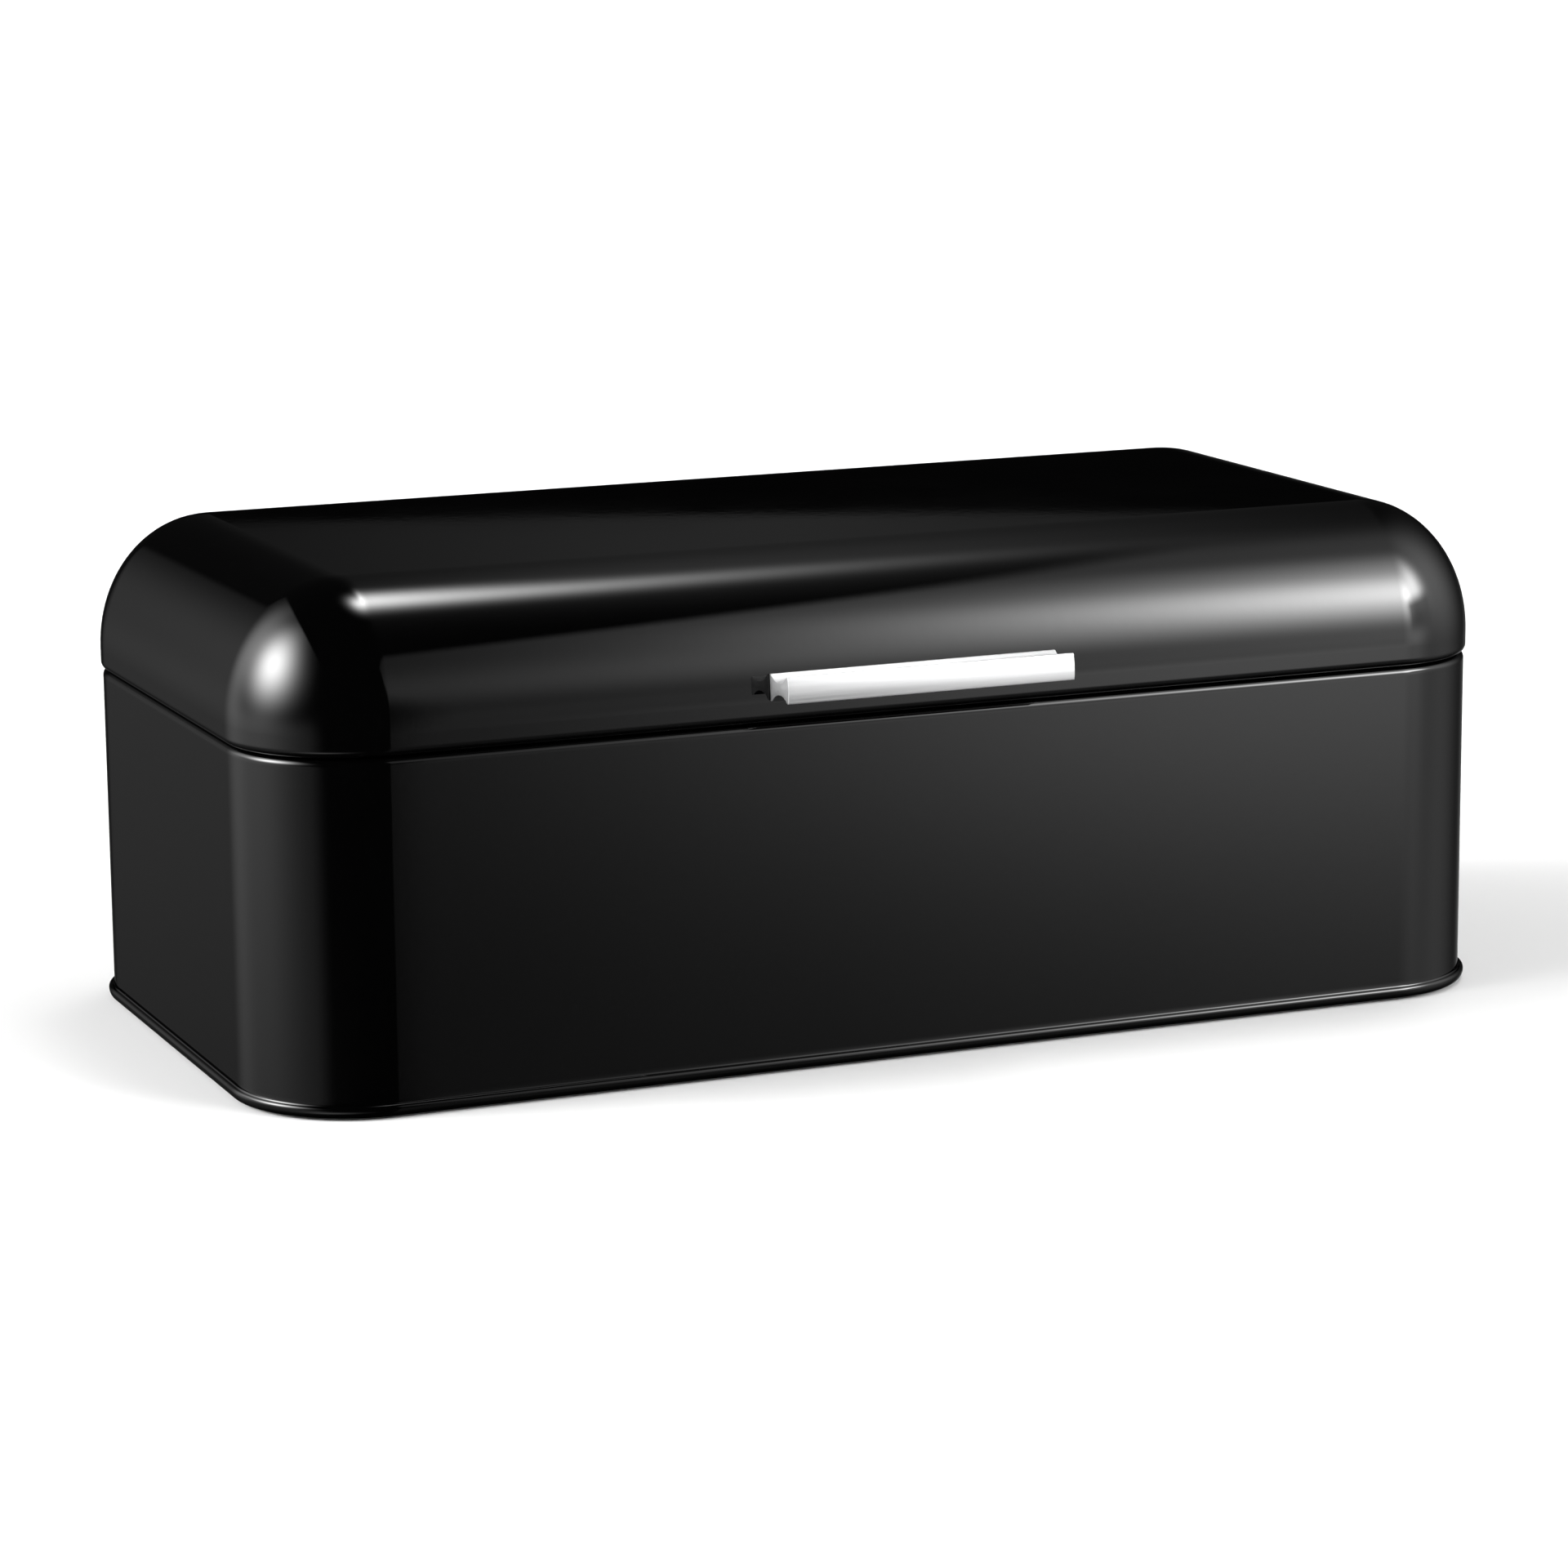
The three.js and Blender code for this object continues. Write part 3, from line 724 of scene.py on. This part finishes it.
def makeRivets(body, level, wallInside, leafOutside):
    tailTop, domeBase = wallInside - rivet["gap"], leafOutside + rivet["domeGap"]
    tailEnd, edge = tailTop - rivet["tailHeight"], rivet["tailEdge"]
    head, dome, start = rivet["head"], rivet["dome"], rivet["domeStart"]
    profile = [(0, tailEnd), (rivet["tail"] - edge, tailEnd), (rivet["tail"], tailEnd + edge)]
    profile += [(rivet["tail"], tailTop), (rivet["shank"], tailTop), (rivet["shank"], domeBase)]
    profile += [(head - rivet["domeEdge"], domeBase)]
    profile += arc([0, domeBase + start], [head, dome - start], 0, 90, 10)
    for place, x in rivetColumns():
        side, nearness = place.split("_")
        name = f"{body}Rivet{side.title()}{nearness.title()}"
        origin = Vector((x * mm, 0, level * mm))
        piece = turnedPiece(name, origin, Vector((0, 1, 0)), Vector((1, 0, 0)), profile, steps=28)
        setDown(piece, "box" if body == "body" else "lid", "bright_steel", f"{body}_rivet_{place}")


for hingeSide, hingeSign in hingeSides.items():
    makeBodyLeaf(hingeSide)
    makeLidLeaf(hingeSide)
    makePin(hingeSide, hingeSign)
rear = box["depth"] / 2
leafOut = rear + hinge["gap"] + hinge["sheet"]
makeRivets("body", rivet["bodyLevel"], rear - box["sheet"], leafOut)
makeRivets("lid", rivet["lidLevel"], rear - rivet["lidGap"], leafOut + lid["overhang"])
print("hinges made")


foot = {
    "radius": 9, "taper": 0.5, "edge": 0.6, "topEdge": 0.3,
    "hollow": 0.4, "hollowRadius": 5.5, "hollowSlope": 0.6, "rimEdge": (0.3, 0.05),
}


def makeFoot(depthName, sideName):
    node = f"foot_{depthName}_{sideName}"
    low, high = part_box(node)
    middle = (low + high) / 2 - boxMiddle
    bottom, top = (low.z - boxMiddle.z) / mm, (high.z - boxMiddle.z) / mm
    wide, edge, topEdge = foot["radius"], foot["edge"], foot["topEdge"]
    narrow = wide - foot["taper"]
    hollow, (rimWidth, rimHeight) = foot["hollowRadius"], foot["rimEdge"]
    profile = [(0, bottom + foot["hollow"]), (hollow - foot["hollowSlope"], bottom + foot["hollow"])]
    profile += [(hollow, bottom + rimHeight), (hollow + rimWidth, bottom)]
    profile += arc([narrow - edge, bottom + edge], [edge, edge], -90, 0, 6)
    profile += arc([wide - topEdge, top - topEdge], [topEdge, topEdge], 0, 90, 4)
    profile += [(0, top)]
    name, origin = "foot" + depthName.title() + sideName.title(), Vector((middle.x, middle.y, 0))
    piece = turnedPiece(name, origin, Vector((0, 0, 1)), Vector((1, 0, 0)), profile, steps=40)
    setDown(piece, "box", "black_rubber", node)


for footDepth in ("front", "rear"):
    for footSide in ("left", "right"):
        makeFoot(footDepth, footSide)
print("feet made")


viewpoint = {
    "yaw": 22.835, "pitch": 11.675, "roll": -0.505, "distance": 1639.7, "right": -0.66, "up": -12.97,
    "aimHeight": 80, "lens": 114.5, "sensor": 36,
}


def makeCamera():
    yaw, pitch, roll = (radians(viewpoint[name]) for name in ("yaw", "pitch", "roll"))
    forward = Vector((sin(yaw) * cos(pitch), cos(yaw) * cos(pitch), -sin(pitch)))
    level = Vector((cos(yaw), -sin(yaw), 0))
    right = cos(roll) * level + sin(roll) * level.cross(forward)
    up = -sin(roll) * level + cos(roll) * level.cross(forward)
    aim = boxMiddle + Vector((0, 0, viewpoint["aimHeight"] * mm))
    shift = right * viewpoint["right"] + up * viewpoint["up"] - forward * viewpoint["distance"]
    place = aim + shift * mm
    data = bpy.data.cameras.new("camera")
    data.lens, data.sensor_width = viewpoint["lens"], viewpoint["sensor"]
    data.clip_start, data.clip_end = 0.05, 50
    camera = bpy.data.objects.new("camera", data)
    bpy.context.scene.collection.objects.link(camera)
    camera.matrix_world = Matrix.Translation(place) @ Matrix((right, up, -forward)).transposed().to_4x4()
    bpy.context.scene.camera = camera


floorLook = {"size": 60, "colour": (0.66, 0.66, 0.66, 1), "roughness": 0.9}


def makeFloor():
    floor = addPrimitive("floor", bpy.ops.mesh.primitive_plane_add, size=floorLook["size"])
    material, shader = newMaterial("paleFloor")
    shader.inputs["Base Color"].default_value = floorLook["colour"]
    shader.inputs["Roughness"].default_value = floorLook["roughness"]
    floor.data.materials.append(material)
    floor.visible_glossy = False


# Soft glows around the box: brightness, compass bearing and height in degrees, then the half widths.
# Bearing 0 is behind the box, 90 is to its right and 180 is in front.
studio = {
    "left": {
        "softbox": (24, -80.5, 27.5, 21, 16.5), "spill": (1.8, -41, 22, 16.5, 24),
        "floor": (0.8, -74, -8, 38, 7), "floorBelow": (0.3, -100, -24, 50, 18),
    },
    "rightSoftbox": {"near": (20, 144, 21.5, 6, 12), "far": (18, 132.5, 26, 11, 15)},
    "right": {
        "spill": (1.7, 110.5, 25, 29, 34), "frontSpill": (2.1, 149.5, 14.5, 9, 12.5),
        "floor": (1.7, 141, -5, 14, 6.8), "floorSheen": (0.8, 152, -10, 6, 2.4),
        "floorBelow": (0.2, 135, -24, 27, 18),
    },
    "behind": {"floorBelow": (0.45, 30, -20, 20, 12), "frontLow": (0.9, -138, -31, 22, 8)},
}
# Soft panels overhead: brightness, then the level parts of their direction and their half widths.
overheadPanels = {
    "softbox": (16.5, 0.235, 0.16, 0.094, 0.136), "end": (12, 0.28, 0.276, 0.035, 0.136),
    "spill": (0.35, 0.37, 0.27, 0.085, 0.42),
}
# Where the glows stop: bearings or heights between which they fade, and the normals of straight edges.
studioEdges = {
    "leftEdge": (-145, -125), "leftTop": (-0.822, 0.207, -0.530), "leftRear": (-9, -6.5),
    "rightEdge": (161.2, 162.4), "rightTop": (0.901, -0.043, -0.432), "fade": 0.035,
    "tableEdge": (8.54, 8.62), "wall": 0.009, "wallLeft": (0, 12), "wallRight": (50, 80),
    "shaded": (105, 122, 141, 150.5), "shadeTop": (14, 23), "shade": 0.9, "dark": 0.008, "backdrop": 1.0,
}


def makeWorld():
    world = bpy.data.worlds.new("studio")
    bpy.context.scene.world = world
    world.use_nodes = True
    world.cycles.sampling_method, world.cycles.sample_map_resolution = "MANUAL", 512
    tree = world.node_tree

    def maths(operation, *values):
        node = tree.nodes.new("ShaderNodeMath")
        node.operation = operation
        for socket, value in zip(node.inputs, values):
            if isinstance(value, (int, float)):
                socket.default_value = value
            else:
                tree.links.new(value, socket)
        return node.outputs[0]

    def ramp(value, start, end):
        node = tree.nodes.new("ShaderNodeMapRange")
        node.interpolation_type = "SMOOTHSTEP"
        tree.links.new(value, node.inputs["Value"])
        node.inputs["From Min"].default_value, node.inputs["From Max"].default_value = start, end
        return node.outputs["Result"]

    def lobe(level, *spans):    # a soft round spot from (value, middle, half width) spans
        squares = [maths("POWER", maths("DIVIDE", maths("SUBTRACT", value, middle), half), 2)
                   for value, middle, half in spans]
        return maths("MULTIPLY", maths("EXPONENT", maths("MULTIPLY", maths("ADD", *squares), -1)), level)

    position = tree.nodes.new("ShaderNodeTexCoord").outputs["Generated"]
    direction = tree.nodes.new("ShaderNodeSeparateXYZ")
    tree.links.new(position, direction.inputs["Vector"])
    x, y, z = direction.outputs
    bearing = maths("DEGREES", maths("ARCTAN2", x, y))
    height = maths("DEGREES", maths("ARCSINE", z))

    def glows(group):
        total = 0
        for level, atBearing, atHeight, width, tall in studio[group].values():
            total = maths("ADD", lobe(level, (bearing, atBearing, width), (height, atHeight, tall)), total)
        return total

    def panelTop(name):    # a panel's straight top edge
        panel = tree.nodes.new("ShaderNodeVectorMath")
        panel.operation = "DOT_PRODUCT"
        tree.links.new(position, panel.inputs[0])
        panel.inputs[1].default_value = studioEdges[name]
        return ramp(panel.outputs["Value"], 0, studioEdges["fade"])

    def between(value, start, startEnd, end, endEnd):
        return maths("SUBTRACT", ramp(value, start, startEnd), ramp(value, end, endEnd))

    # a shade over the right softbox's foot keeps its mirror image from burning out the lid's flat top
    low = maths("SUBTRACT", 1, ramp(height, *studioEdges["shadeTop"]))
    shaded = maths("MULTIPLY", between(bearing, *studioEdges["shaded"]), low)
    clear = maths("SUBTRACT", 1, maths("MULTIPLY", shaded, studioEdges["shade"]))
    right = maths("ADD", glows("right"), maths("MULTIPLY", glows("rightSoftbox"), clear))
    rightFront = maths("SUBTRACT", 1, ramp(bearing, *studioEdges["rightEdge"]))
    right = maths("MULTIPLY", right, maths("MULTIPLY", panelTop("rightTop"), rightFront))
    leftSpan = between(bearing, *studioEdges["leftEdge"], *studioEdges["leftRear"])
    left = maths("MULTIPLY", glows("left"), maths("MULTIPLY", panelTop("leftTop"), leftSpan))
    total = maths("ADD", maths("ADD", right, left), glows("behind"))

    upper = ramp(height, *studioEdges["tableEdge"])
    for level, overX, overY, wide, deep in overheadPanels.values():
        panel = lobe(level, (x, overX, wide), (y, overY, deep))
        total = maths("MULTIPLY_ADD", panel, upper, total)
    behind = between(bearing, *studioEdges["wallLeft"], *studioEdges["wallRight"])
    total = maths("ADD", total, maths("MULTIPLY", behind, maths("MULTIPLY", upper, studioEdges["wall"])))
    total = maths("MULTIPLY_ADD", maths("SUBTRACT", 1, behind), studioEdges["dark"], total)

    light = tree.nodes["Background"]
    tree.links.new(total, light.inputs["Color"])
    backdrop = tree.nodes.new("ShaderNodeBackground")
    backdrop.inputs["Color"].default_value = (1, 1, 1, 1)
    backdrop.inputs["Strength"].default_value = studioEdges["backdrop"]
    mix = tree.nodes.new("ShaderNodeMixShader")
    tree.links.new(tree.nodes.new("ShaderNodeLightPath").outputs["Is Camera Ray"], mix.inputs["Fac"])
    tree.links.new(light.outputs["Background"], mix.inputs[1])
    tree.links.new(backdrop.outputs["Background"], mix.inputs[2])
    tree.links.new(mix.outputs["Shader"], tree.nodes["World Output"].inputs["Surface"])


overhead = {"place": (0.2, -0.3, 2.4), "size": 2.4, "power": 25}


def makeOverheadLight():    # fills the floor and its shadow, and stays out of the reflections
    data = bpy.data.lights.new("overhead", "AREA")
    data.size, data.energy = overhead["size"], overhead["power"]
    light = bpy.data.objects.new("overhead", data)
    bpy.context.scene.collection.objects.link(light)
    light.location = overhead["place"]
    light.rotation_euler = (-Vector(overhead["place"])).to_track_quat("-Z", "Y").to_euler()
    light.visible_glossy = False


makeCamera()
makeFloor()
makeWorld()
makeOverheadLight()
bpy.context.scene.view_settings.view_transform = "Standard"
print("studio made")
